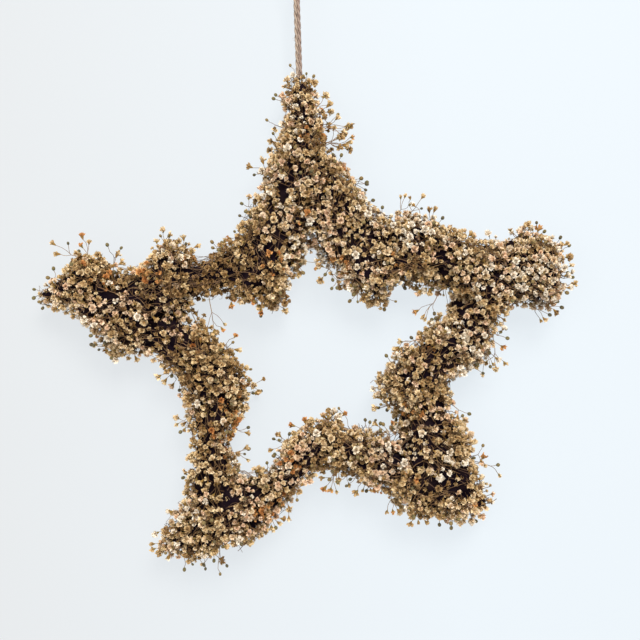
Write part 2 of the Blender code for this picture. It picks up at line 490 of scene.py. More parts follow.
def tube(
    bm: bmesh.types.BMesh,
    path: Sequence[Vector],
    radius: float,
    sides: int,
    closed: bool = False,
) -> tuple[list[bmesh.types.BMFace], dict[bmesh.types.BMVert, float]]:
    """Extrudes a ring along a path without twist.

    Args:
        bm: The mesh it goes in.
        path: The centreline.
        radius: The tube's radius.
        sides: How many sides it has.
        closed: Whether its two ends are capped.

    Returns:
        Its faces, and each vertex's share of the way along.
    """
    heading = (path[1] - path[0]).normalized()
    turn = heading.to_track_quat("Z", "Y")
    spot = Matrix.Translation(path[0]) @ turn.to_matrix().to_4x4()
    ring = bmesh.ops.create_circle(
        bm, cap_ends=False, radius=radius, segments=sides, matrix=spot
    )["verts"]
    edges = list(dict.fromkeys(edge for vert in ring for edge in vert.link_edges))
    first = list(edges)
    shares = {vert: 0.0 for vert in ring}
    faces: list[bmesh.types.BMFace] = []
    for number in range(1, len(path)):
        ahead = path[min(number + 1, len(path) - 1)] - path[number - 1]
        bend = heading.rotation_difference(ahead.normalized())
        heading = ahead.normalized()
        turn = bend @ turn
        new_spot = Matrix.Translation(path[number]) @ turn.to_matrix().to_4x4()
        grown = bmesh.ops.extrude_edge_only(bm, edges=edges)["geom"]
        verts = [item for item in grown if isinstance(item, bmesh.types.BMVert)]
        edges = [
            item
            for item in grown
            if isinstance(item, bmesh.types.BMEdge) and all(vert in verts for vert in item.verts)
        ]
        faces += [item for item in grown if isinstance(item, bmesh.types.BMFace)]
        bmesh.ops.transform(bm, matrix=new_spot @ spot.inverted(), verts=verts)
        shares.update({vert: number / (len(path) - 1) for vert in verts})
        spot = new_spot
    if closed:
        for rim in (first, edges):
            faces += bmesh.ops.contextual_create(bm, geom=rim)["faces"]
    return faces, shares


@dataclass
class Template:
    """A small mesh that many copies are made from, each with its own place and petal tints."""

    mesh: bpy.types.Mesh
    points: np.ndarray
    uv: np.ndarray
    petal: np.ndarray
    bloom: np.ndarray
    heights: np.ndarray

    @classmethod
    def of(cls, name: str, bm: bmesh.types.BMesh, heights: Sequence[float]) -> "Template":
        """Closes a bmesh into a template.

        Args:
            name: The mesh's name.
            bm: The finished shape, which is freed.
            heights: How high each of its blooms stands; each gets its own tint.

        Returns:
            The template.
        """
        mesh = bpy.data.meshes.new(name)
        bm.to_mesh(mesh)
        bm.free()
        points = np.zeros(len(mesh.vertices) * 3, np.float32)
        mesh.vertices.foreach_get("co", points)
        uv = np.zeros(len(mesh.loops) * 2, np.float32)
        mesh.uv_layers[UV_NAME].uv.foreach_get("vector", uv)
        coats = np.zeros(len(mesh.polygons), np.int32)
        mesh.polygons.foreach_get("material_index", coats)
        corners = np.zeros(len(mesh.polygons), np.int32)
        mesh.polygons.foreach_get("loop_total", corners)
        numbers = np.zeros(len(mesh.polygons), np.int32)
        mesh.attributes[BLOOM_LAYER].data.foreach_get("value", numbers)
        return cls(
            mesh,
            points.reshape(-1, 3),
            uv.reshape(-1, 2),
            np.repeat(coats == Coat.PETALS.value, corners),
            np.repeat(numbers, corners),
            np.array(heights),
        )

    def place(
        self,
        target: bmesh.types.BMesh,
        turn: Matrix,
        tints: np.ndarray | None = None,
        number: int = 0,
    ) -> None:
        """Adds one copy to a mesh.

        Args:
            target: The mesh that the copy joins.
            turn: Where it goes.
            tints: The petal tint of each of its blooms, from 0 to 1, or None to leave them.
            number: The bloom's number in the target, for a template of one bloom.
        """
        matrix = np.array(turn, np.float32)
        points = self.points @ matrix[:3, :3].T + matrix[:3, 3]
        self.mesh.vertices.foreach_set("co", np.ascontiguousarray(points, np.float32).ravel())
        if tints is None:
            numbers = np.full(len(self.mesh.polygons), number, np.int32)
            self.mesh.attributes[BLOOM_LAYER].data.foreach_set("value", numbers)
        else:
            uv = self.uv.copy()
            room = Band.PETAL.value[1] - PETAL_WIDTH
            uv[self.petal, 0] += tints[self.bloom[self.petal]] * room
            self.mesh.uv_layers[UV_NAME].uv.foreach_set("vector", uv.ravel())
        target.from_mesh(self.mesh)


class BloomKind(Enum):
    """The forms of dried head, with how often each is seen in a sprig."""

    RUFFLED = 0.36
    ROSETTE = 0.28
    OPEN = 0.10
    FLARED = 0.12
    CLOSED = 0.14


@dataclass(frozen=True)
class Ruff:
    """One ring of petals that spread evenly from a point, with lengths in millimetres.

    Its spread is the angles from upright between which they lie, in degrees. Its reach is a share
    of the head's radius, and its curl, how far the tips bend in, a share of a petal's width.
    """

    count: int
    spread: tuple[float, float]
    reach: float
    width: float
    foot: float
    curl: float = 0.2


@dataclass(frozen=True)
class Form:
    """The form of one kind of head: its calyx's width and height in millimetres, and its ruffs."""

    calyx: tuple[float, float]
    ruffs: tuple[Ruff, ...]


FORMS = {
    BloomKind.RUFFLED: Form(
        (0.9, 1.4),
        (Ruff(12, (44, 110), 1.0, 1.95, 1.7, 0.35), Ruff(8, (20, 46), 0.98, 1.7, 1.7, 0.85)),
    ),
    BloomKind.ROSETTE: Form(
        (1.0, 1.3), (Ruff(8, (60, 88), 1.12, 2.1, 1.2), Ruff(8, (24, 54), 0.98, 1.7, 1.3, 0.75))
    ),
    BloomKind.OPEN: Form(
        (1.1, 1.5), (Ruff(7, (46, 66), 1.15, 2.1, 1.1), Ruff(4, (10, 40), 0.62, 1.1, 1.2))
    ),
    BloomKind.FLARED: Form(
        (1.15, 2.2), (Ruff(7, (24, 50), 1.15, 1.6, 1.4), Ruff(4, (14, 26), 1.1, 1.4, 1.4, 0.7))
    ),
    BloomKind.CLOSED: Form((0.85, 1.5), (Ruff(9, (22, 70), 0.74, 1.35, 1.0, 0.7),)),
}


@dataclass
class BloomMaker:
    """Makes the heads of dried baby's breath, standing on the origin and opening to +Z."""

    rng: np.random.Generator
    radius: float = 2.42 * MM
    variants: int = 6
    folds: tuple[float, float] = (-0.30, 0.22)
    # How far each petal's painted shade is scaled at random; the darker ones are painted as if in
    # shadow.
    shade_scales: tuple[float, float] = (0.55, 1.1)
    sizes: tuple[float, float] = (0.82, 1.12)
    wobble: float = 0.09
    tilting: float = 0.16
    turning: float = 0.25
    twisting: float = 0.55
    bending: float = 0.16
    stem_top: float = 0.3 * MM
    bud_radius: float = 1.1 * MM

    def petal(
        self, bm: bmesh.types.BMesh, place: Matrix, length: float, width: float, curl: float
    ) -> None:
        """Adds one notched petal, folded along its middle.

        Args:
            bm: The bloom's mesh.
            place: Puts the petal, which grows along its own +Z from the origin.
            length: From foot to tips.
            width: Across the tips.
            curl: How far the tips bend in over the bloom, as a share of the width.
        """
        fold = curl + self.rng.uniform(*self.folds)
        # Each corner's v is painted shade: darkest at the foot, lighter at the sides and notch,
        # brightest at the tips. The whole petal is then scaled by its random painted shade, tone.
        outline = (
            ((0, 0, 0), 0.05),
            ((0.5, 0.0, 0.62), 0.75),
            ((0.36, curl, 1.0), 1.0),
            ((0, fold, 0.86), 0.85),
            ((-0.36, curl, 1.0), 1.0),
            ((-0.5, 0.0, 0.62), 0.75),
        )
        tone = self.rng.uniform(*self.shade_scales)
        shades = {}
        verts = []
        for (across, out, along), shade in outline:
            wobble = Vector(self.rng.normal(0, self.wobble, 3)) if along else Vector()
            spot = Vector((across * width, out * width, along * length)) + wobble * width
            verts.append(bm.verts.new(place @ spot))
            shades[verts[-1]] = shade * tone
        foot, right, right_tip, notch, left_tip, left = verts
        faces = [
            bm.faces.new((foot, right, right_tip, notch)),
            bm.faces.new((foot, notch, left_tip, left)),
        ]
        paint(bm, faces, Band.PETAL, lambda vert: shades[vert])

    def ruff(self, bm: bmesh.types.BMesh, ruff: Ruff) -> None:
        """Adds one ring of petals to a bloom."""
        low, high = (math.cos(math.radians(angle)) for angle in ruff.spread)
        start = self.rng.uniform(0, math.tau)
        for number in range(ruff.count):
            tilt = math.acos(low + (high - low) * (number + 0.5) / ruff.count)
            tilt += self.rng.normal(0, self.tilting)
            around = start + number * GOLDEN_ANGLE + self.rng.normal(0, self.turning)
            twist = self.rng.normal(0, self.twisting)
            place = (
                Matrix.Translation((0, 0, ruff.foot * MM))
                @ Matrix.Rotation(around, 4, "Z")
                @ Matrix.Rotation(tilt, 4, "Y")
                @ Matrix.Rotation(math.pi / 2 + twist, 4, "Z")
            )
            size = self.rng.uniform(*self.sizes)
            bend = ruff.curl + self.rng.normal(0, self.bending)
            reach = self.radius * ruff.reach
            self.petal(bm, place, reach * size, ruff.width * MM * size, bend)

    def calyx(self, bm: bmesh.types.BMesh, width: float, height: float) -> None:
        """Adds the small green cup that holds the petals."""
        made = bmesh.ops.create_cone(
            bm,
            cap_ends=False,
            segments=5,
            radius1=self.stem_top,
            radius2=width,
            depth=height,
            matrix=Matrix.Translation((0, 0, height / 2)),
        )["verts"]
        faces = {face for vert in made for face in vert.link_faces}
        across = self.rng.uniform(0, 1)
        # The calyx pales towards its top: painted light.
        paint(bm, faces, Band.CALYX, lambda vert: vert.co.z / height * 0.8, across)

    def make(self, kind: BloomKind, number: int) -> Template:
        """Makes one variant of a kind of head.

        Args:
            kind: The form of the head.
            number: The variant's number, for its name.

        Returns:
            The head as a template.
        """
        bm = fresh()
        form = FORMS[kind]
        self.calyx(bm, form.calyx[0] * MM, form.calyx[1] * MM)
        for ruff in form.ruffs:
            self.ruff(bm, ruff)
        return Template.of(f"{kind.name.lower()}_{number}", bm, [0.0])

    def bud(self, number: int) -> Template:
        """Makes a small round closed bud."""
        bm = fresh()
        made = bmesh.ops.create_uvsphere(
            bm, u_segments=6, v_segments=5, radius=self.bud_radius
        )["verts"]
        bmesh.ops.scale(bm, vec=(1, 1, 1.15), verts=made)
        bmesh.ops.translate(bm, vec=(0, 0, self.bud_radius), verts=made)
        top = 2.4 * MM
        # The bud pales towards its top: painted light.
        paint(bm, bm.faces, Band.BUD, lambda vert: vert.co.z / top, self.rng.uniform(0, 1))
        return Template.of(f"bud_{number}", bm, [0.0])

    def all(self) -> tuple[dict[BloomKind, list[Template]], list[Template]]:
        """Makes every variant of every kind, and the buds."""
        heads = {kind: [self.make(kind, n) for n in range(self.variants)] for kind in BloomKind}
        return heads, [self.bud(number) for number in range(3)]


class Growth(Enum):
    """What grows in a seat: a sprig of the front, the back, buds, a dark gap or a loose edge."""

    FULL = "full"
    PLAIN = "plain"
    BUDDED = "budded"
    DEEP = "deep"
    LOOSE = "loose"


VARIANTS = {
    Growth.FULL: 16,
    Growth.PLAIN: 8,
    Growth.BUDDED: 12,
    Growth.DEEP: 8,
    Growth.LOOSE: 8,
}


@dataclass
class SprigMaker:
    """Makes forked sprigs whose heads lie about the origin, opening to +Z, with the stem below."""

    rng: np.random.Generator
    heads: dict[BloomKind, list[Template]]
    buds: list[Template]
    stem_radius: float = 0.26 * MM
    root_depth: float = 16 * MM
    fork_depth: float = 11 * MM
    spread: float = 7.0 * MM
    spacing: float = 3.5 * MM
    sizes: tuple[float, float] = (0.56, 1.16)
    stray_sizes: tuple[float, float] = (0.95, 1.3)
    bud_sizes: tuple[float, float] = (0.8, 1.25)
    variants: int = 6
    tries: int = 30
    sunk_share: float = 0.26
    sunk_height: float = -9.0 * MM
    usual_height: float = -4.3 * MM
    dome: float = 26.0
    deep_squash: float = 0.4
    deep_drop: float = 6 * MM
    trunk: float = 1.5
    branch: float = 1.2
    spray_stem: float = 1.1
    twig: float = 0.75
    bud_share: float = 0.55
    bow: float = 0.10
    crook: float = 0.02
    fork_wander: float = 0.6
    head_wander: float = 0.38
    branch_share: float = 0.45
    spray_fork: float = 0.55
    spray_lag: float = 0.35
    budded_rise: tuple[float, float] = (0.5, 7.5)
    stray_odds: ClassVar[dict[BloomKind, float]] = {
        BloomKind.CLOSED: 0.32,
        BloomKind.FLARED: 0.30,
        BloomKind.OPEN: 0.16,
        BloomKind.RUFFLED: 0.22,
    }
    counts: ClassVar[dict[Growth, tuple[int, int]]] = {
        Growth.FULL: (9, 13),
        Growth.PLAIN: (6, 8),
        Growth.DEEP: (4, 6),
        Growth.LOOSE: (3, 6),
    }

    def stem(
        self, bm: bmesh.types.BMesh, start: Vector, end: Vector, radius: float, bends: int = 1
    ) -> None:
        """Adds one crooked stem between two points.

        Args:
            bm: The sprig's mesh.
            start: Where it starts.
            end: Where it ends.
            radius: Its radius.
            bends: How many bends it has on the way.
        """
        bow = Vector(self.rng.normal(0, self.bow, 3)) * (end - start).length
        path = [start]
        for number in range(1, bends + 1):
            share = number / (bends + 1)
            wobble = Vector(self.rng.normal(0, self.crook, 3)) * (end - start).length
            path.append(start.lerp(end, share) + bow * math.sin(math.pi * share) + wobble)
        path.append(end)
        faces, shares = tube(bm, path, radius, 3)
        # Stems pale towards the heads: painted shade deep down, lighter near the surface.
        paint(bm, faces, Band.STEM, lambda vert: shares[vert] * 0.8, self.rng.uniform(0, 1))

    def spots(self, count: int) -> list[Vector]:
        """Finds places for heads, apart from each other, most of them high and some sunk."""
        found: list[Vector] = []
        for _ in range(count * self.tries):
            reach = self.spread * math.sqrt(self.rng.uniform(0, 1))
            angle = self.rng.uniform(0, math.tau)
            sunk = self.rng.uniform(0, 1) < self.sunk_share
            height = self.sunk_height if sunk else self.usual_height
            height += self.rng.normal(0, 1.1) * MM
            height -= reach * reach * self.dome
            spot = Vector((reach * math.cos(angle), reach * math.sin(angle), height))
            if all((spot - other).length > self.spacing for other in found):
                found.append(spot)
            if len(found) == count:
                break
        return found

    def make(self, growth: Growth, number: int) -> Template:
        """Makes one sprig.

        Args:
            growth: What the sprig is like.
            number: The variant's number, for its name.

        Returns:
            The sprig as a template with one tint for each of its heads.
        """
        bm = fresh()
        if growth is Growth.BUDDED:
            return self.budded(bm, number)
        low, high = self.counts[growth]
        spots = self.spots(int(self.rng.integers(low, high)))
        if growth is Growth.DEEP:
            for spot in spots:
                spot.z = spot.z * self.deep_squash - self.deep_drop
        root = Vector((0, 0, -self.root_depth))
        fork = Vector((*self.rng.normal(0, self.fork_wander, 2) * MM, -self.fork_depth))
        self.stem(bm, root, fork, self.stem_radius * self.trunk)
        groups = max(2, len(spots) // 3)
        order = sorted(spots, key=lambda spot: math.atan2(spot.y, spot.x))
        for share in range(groups):
            members = [n for n in range(len(order)) if n * groups // len(order) == share]
            if not members:
                continue
            centre = sum((order[n] for n in members), Vector()) / len(members)
            branch = fork.lerp(centre, self.branch_share)
            self.stem(bm, fork, branch, self.stem_radius * self.branch)
            for n in members:
                self.stem(bm, branch, order[n], self.stem_radius)
                way = (order[n] - fork).normalized()
                way += Vector(self.rng.normal(0, self.head_wander, 3))
                self.head(bm, order[n], way, n)
        return Template.of(f"sprig_{growth.value}_{number}", bm, [spot.z for spot in order])

    def head(self, bm: bmesh.types.BMesh, spot: Vector, way: Vector, number: int) -> None:
        """Sets a head of a random kind on the end of a stem."""
        kinds = list(BloomKind)
        odds = np.array([kind.value for kind in kinds])
        kind = kinds[int(self.rng.choice(len(kinds), p=odds / odds.sum()))]
        variants = self.heads[kind]
        template = variants[int(self.rng.integers(len(variants)))]
        size = self.rng.uniform(*self.sizes)
        template.place(bm, self.standing(spot, way, size), None, number)

    def standing(self, spot: Vector, way: Vector, size: float) -> Matrix:
        """Gives the place of something that stands on a spot and points one way."""
        turn = way.normalized().to_track_quat("Z", "Y").to_matrix().to_4x4()
        spin = Matrix.Rotation(self.rng.uniform(0, math.tau), 4, "Z")
        return Matrix.Translation(spot) @ turn @ spin @ Matrix.Scale(size, 4)

    def bud_or_head(
        self, bm: bmesh.types.BMesh, spot: Vector, way: Vector, bud_share: float, number: int
    ) -> None:
        """Ends a free stem in a round bud or a small head.

        Args:
            bm: The mesh it joins.
            spot: The stem's end.
            way: Where the stem points.
            bud_share: How likely a bud is.
            number: The bloom's number in the mesh.
        """
        if self.rng.uniform(0, 1) < bud_share:
            bud = self.buds[int(self.rng.integers(len(self.buds)))]
            bud.place(bm, self.standing(spot, way, self.rng.uniform(*self.bud_sizes)), None, number)
            return
        kinds = list(self.stray_odds)
        kind = kinds[int(self.rng.choice(len(kinds), p=list(self.stray_odds.values())))]
        head = self.heads[kind][int(self.rng.integers(self.variants))]
        size = self.rng.uniform(*self.stray_sizes)
        head.place(bm, self.standing(spot, way, size), None, number)

    def spray(self, spray: "Spray", root: Vector, number: int) -> Template:
        """Makes a long thin sprig whose heads stand out past the outline, where it is seen.

        Args:
            spray: Its end and how many heads and buds it bears.
            root: Its root, inside the wreath.
            number: Its number, for its name.

        Returns:
            The sprig in the row frame, as a template of its own.
        """
        bm = fresh()
        end = VIEW.point(*spray.end, spray.depth - 2 * MM)
        fork = root.lerp(end, self.spray_fork)
        self.stem(bm, root, fork, self.stem_radius * self.spray_stem, 2)
        across = Vector((0, 1, 0)).cross(end - root).normalized()
        for index in range(spray.heads):
            side = 0.0 if spray.heads == 1 else index / (spray.heads - 1) - 0.5
            tip = end + across * side * spray.breadth * MM
            tip -= (end - root) * abs(side) * self.spray_lag
            tip += Vector(self.rng.normal(0, 1.5, 3)) * MM
            self.stem(bm, fork, tip, self.stem_radius * self.twig, 2)
            self.bud_or_head(bm, tip, tip - fork, spray.bud_share, index)
        return Template.of(f"spray_{number}", bm, [0.0] * spray.heads)

    def budded(self, bm: bmesh.types.BMesh, number: int) -> Template:
        """Makes a thin forked stem with buds and small heads that stands out past the others."""
        root = Vector((0, 0, -self.root_depth * 0.7))
        lean = Vector((*self.rng.normal(0, 2.4, 2) * MM, 0))
        fork = Vector((0, 0, -1.5 * MM)) + lean
        self.stem(bm, root, fork, self.stem_radius)
        for _ in range(int(self.rng.integers(1, 4))):
            rise = self.rng.uniform(*self.budded_rise) * MM
            end = fork + Vector((*self.rng.normal(0, 2.6, 2) * MM, rise))
            self.stem(bm, fork, end, self.stem_radius * self.twig, 2)
            self.bud_or_head(bm, end, end - fork, self.bud_share, 0)
        return Template.of(f"sprig_budded_{number}", bm, [0.0])


@dataclass(frozen=True)
class Spray:
    """A long thin sprig that stands out past the outline.

    Its root and end are places in the photograph, in pixels, its breadth is in millimetres and
    its depth is the y of its end.
    """

    root: tuple[float, float]
    end: tuple[float, float]
    heads: int = 3
    bud_share: float = 0.3
    breadth: float = 7.0
    depth: float = -4 * MM


SPRAYS = (
    Spray((305, 130), (345, 126), 7, 0.1, 13),
    Spray((308, 150), (349, 138), 7, 0.1, 11),
    Spray((305, 140), (340, 145), 5, 0.2, 9),
    Spray((303, 118), (328, 98), 2, 0.0, 6),
    Spray((304, 122), (333, 108), 2, 0.0, 5),
    Spray((302, 95), (312, 79), 3, 0.2, 6),
    Spray((297, 88), (289, 73), 1, 1.0, 2),
    Spray((304, 86), (308, 75), 2, 0.6, 3),
    Spray((296, 110), (274, 97), 2, 0.4, 4),
    Spray((292, 150), (268, 137), 2, 0.7, 5),
    Spray((282, 178), (254, 168), 3, 0.3, 7),
    Spray((330, 175), (368, 186), 4, 0.6, 9),
    Spray((395, 222), (406, 199), 3, 0.3, 7),
    Spray((405, 225), (418, 200), 3, 0.3, 6),
    Spray((430, 230), (431, 211), 2, 0.3, 5),
    Spray((530, 255), (539, 229), 4, 0.3, 9),
    Spray((545, 270), (566, 248), 3, 0.3, 8),
    Spray((545, 262), (563, 236), 2, 0.9, 5),
    Spray((548, 275), (568, 268), 3, 0.2, 8),
    Spray((540, 290), (570, 288), 3, 0.6, 7),
    Spray((530, 295), (559, 306), 3, 0.2, 6),
    Spray((520, 300), (548, 317), 4, 0.2, 9),
    Spray((492, 318), (497, 369), 3, 0.1, 9),
    Spray((485, 330), (483, 372), 3, 0.1, 7),
    Spray((480, 320), (494, 352), 2, 0.2, 4),
    Spray((462, 400), (468, 416), 2, 0.5, 5),
    Spray((480, 455), (506, 471), 2, 0.8, 4),
    Spray((470, 462), (484, 465), 2, 0.5, 5),
    Spray((410, 495), (423, 523), 4, 0.2, 10),
    Spray((385, 485), (396, 512), 4, 0.2, 9),
    Spray((362, 468), (371, 489), 5, 0.1, 13),
    Spray((340, 465), (328, 488), 4, 0.3, 9),
    Spray((352, 466), (344, 482), 2, 0.0, 5),
    Spray((292, 478), (283, 513), 3, 0.5, 7),
    Spray((262, 505), (276, 524), 3, 0.4, 8),
    Spray((222, 525), (218, 573), 3, 0.9, 14),
    Spray((212, 525), (205, 563), 3, 0.9, 12),
    Spray((180, 535), (157, 549), 4, 0.2, 8),
    Spray((175, 540), (191, 571), 2, 0.6, 5),
    Spray((205, 430), (180, 420), 3, 0.5, 8),
    Spray((200, 400), (179, 432), 2, 0.6, 5),
    Spray((190, 365), (160, 371), 3, 0.4, 7),
    Spray((120, 350), (96, 347), 3, 0.4, 6),
    Spray((60, 295), (36, 308), 2, 0.9, 4),
    Spray((55, 285), (33, 296), 2, 0.9, 3),
    Spray((85, 265), (60, 247), 3, 0.6, 6),
    Spray((90, 270), (86, 242), 3, 0.1, 6),
    Spray((110, 275), (115, 260), 5, 0.1, 14),
    Spray((118, 265), (115, 243), 2, 0.9, 4),
    Spray((165, 250), (164, 233), 3, 0.4, 7),
    Spray((185, 262), (186, 243), 4, 0.3, 9),
    Spray((225, 262), (219, 243), 4, 0.2, 9),
    Spray((245, 242), (232, 232), 2, 0.4, 5),
    Spray((225, 285), (236, 302), 4, 0.2, 11),
    Spray((205, 300), (216, 330), 4, 0.3, 11),
    Spray((215, 345), (237, 350), 5, 0.1, 13),
    Spray((225, 372), (249, 374), 4, 0.3, 9),
    Spray((235, 385), (265, 387), 2, 0.5, 5),
    Spray((225, 430), (249, 431), 2, 0.8, 3),
    Spray((230, 450), (247, 454), 4, 0.4, 9),
    Spray((250, 462), (258, 474), 4, 0.3, 8),
    Spray((292, 452), (281, 437), 4, 0.3, 10),
    Spray((312, 440), (304, 421), 3, 0.3, 7),
    Spray((335, 434), (331, 415), 4, 0.2, 8),
    Spray((358, 446), (340, 410), 1, 1.0, 1),
    Spray((360, 446), (371, 413), 2, 0.6, 3),
    Spray((395, 445), (386, 424), 5, 0.3, 12),
    Spray((400, 410), (377, 403), 5, 0.2, 12),
    Spray((420, 330), (398, 345), 3, 0.3, 7),
    Spray((440, 300), (425, 317), 4, 0.3, 8),
    Spray((425, 275), (431, 293), 4, 0.3, 10),
    Spray((378, 285), (390, 308), 2, 0.8, 5),
    Spray((360, 280), (356, 300), 4, 0.3, 9),
    Spray((335, 262), (324, 276), 6, 0.2, 15),
    Spray((345, 270), (331, 284), 3, 0.5, 6),
    Spray((290, 255), (302, 272), 3, 0.5, 6),
)


@dataclass(frozen=True)
class Strip:
    """A stretch of the photograph, in pixels: its two ends and half its width."""

    start: tuple[float, float]
    end: tuple[float, float]
    reach: float

    def holds(self, spot: tuple[float, float]) -> bool:
        """Says whether a place in the photograph lies in the stretch."""
        line = Vector(self.end) - Vector(self.start)
        offset = Vector(spot) - Vector(self.start)
        share = min(max(offset.dot(line) / line.length_squared, 0.0), 1.0)
        return (offset - line * share).length < self.reach


# The dark gaps between sprigs.
GAPS = (
    Strip((228, 288), (240, 281), 8),
    Strip((429, 431), (434, 438), 8),
    Strip((238, 270), (190, 281), 13),
    Strip((132, 284), (173, 299), 12),
    Strip((157, 312), (142, 343), 9),
    Strip((253, 250), (252, 286), 9),
    Strip((228, 505), (213, 500), 10),
    Strip((432, 482), (424, 500), 10),
    Strip((189, 354), (168, 347), 9),
    Strip((404, 257), (406, 277), 11),
    Strip((95, 298), (117, 310), 9),
    Strip((439, 352), (434, 372), 9),
    Strip((219, 396), (210, 413), 11),
    Strip((303, 186), (311, 194), 8),
    Strip((424, 458), (435, 459), 7),
    Strip((328, 180), (343, 187), 9),
    Strip((460, 323), (448, 333), 6),
    Strip((204, 462), (214, 460), 10),
    Strip((460, 485), (452, 496), 8),
    Strip((206, 421), (200, 428), 8),
    Strip((491, 276), (494, 285), 6),
)

# The ends of the points where the fringe is loose.
EDGES = (
    Strip((571, 250), (567, 296), 12),
    Strip((553, 318), (540, 322), 8),
    Strip((36, 296), (46, 280), 9),
    Strip((493, 488), (486, 512), 7),
)


@dataclass(frozen=True)
class Patch:
    """A place in the photograph whose petals are drawn paler, darker or rosier than the rest,
    partly for their own dried colour and partly as painted light and shade, such as darker lower
    edges.

    Its reach is in pixels, its shift is the change of tint at its middle, and its rose is the
    share of sprigs there that are rosy.
    """

    spot: tuple[float, float]
    reach: float
    shift: float
    rose: float = 0.0

    @staticmethod
    def at(spot: tuple[float, float]) -> np.ndarray:
        """Gives the change of tint and the share of rosy sprigs at a place in the picture."""
        total = np.zeros(2)
        for patch in PATCHES:
            offset = (Vector(spot) - Vector(patch.spot)).length / patch.reach
            total += np.array((patch.shift, patch.rose)) * math.exp(-offset * offset)
        return total


# The shifts are partly the petals' own colour and partly painted light and shade, darker on lower
# edges.
PATCHES = (
    Patch((548, 276), 42, 0.46, 0.04),
    Patch((523, 232), 20, 0.14),
    Patch((500, 280), 36, 0.02, 0.08),
    Patch((45, 296), 22, 0.18),
    Patch((83, 315), 30, 0.42, 0.10),
    Patch((107, 260), 28, -0.32),
    Patch((213, 246), 24, -0.50),
    Patch((224, 293), 34, -0.42, 0.15),
    Patch((165, 335), 30, 0.16, 0.30),
    Patch((232, 350), 38, -0.40, 0.20),
    Patch((237, 422), 20, 0.14),
    Patch((200, 448), 34, -0.22, 0.20),
    Patch((213, 522), 20, -0.22),
    Patch((184, 510), 18, 0.20),
    Patch((252, 515), 28, 0.26, 0.10),
    Patch((292, 468), 26, 0.22, 0.15),
    Patch((324, 484), 28, -0.42),
    Patch((344, 466), 20, -0.22, 0.20),
    Patch((340, 443), 26, 0.12, 0.25),
    Patch((394, 459), 30, 0.38, 0.20),
    Patch((430, 497), 22, -0.26),
    Patch((465, 478), 22, 0.16),
    Patch((390, 368), 20, 0.22),
    Patch((470, 348), 32, 0.38),
    Patch((414, 332), 20, -0.14),
    Patch((432, 414), 20, 0.14),
    Patch((418, 228), 30, 0.46),
    Patch((446, 266), 20, 0.18),
    Patch((372, 208), 22, 0.22),
    Patch((320, 247), 26, 0.48),
    Patch((352, 283), 16, 0.20),
    Patch((420, 280), 18, -0.28),
    Patch((484, 276), 16, -0.14),
    Patch((258, 266), 18, -0.28),
    Patch((308, 190), 16, -0.20),
    Patch((330, 138), 22, -0.34),
    Patch((288, 176), 24, 0.46),
    Patch((255, 190), 14, -0.16),
    Patch((292, 95), 20, 0.22),
)


@dataclass
class Seat:
    """One sprig's place on the wreath."""

    point: Vector
    way: Vector
    node: int
    growth: Growth
    seed: int


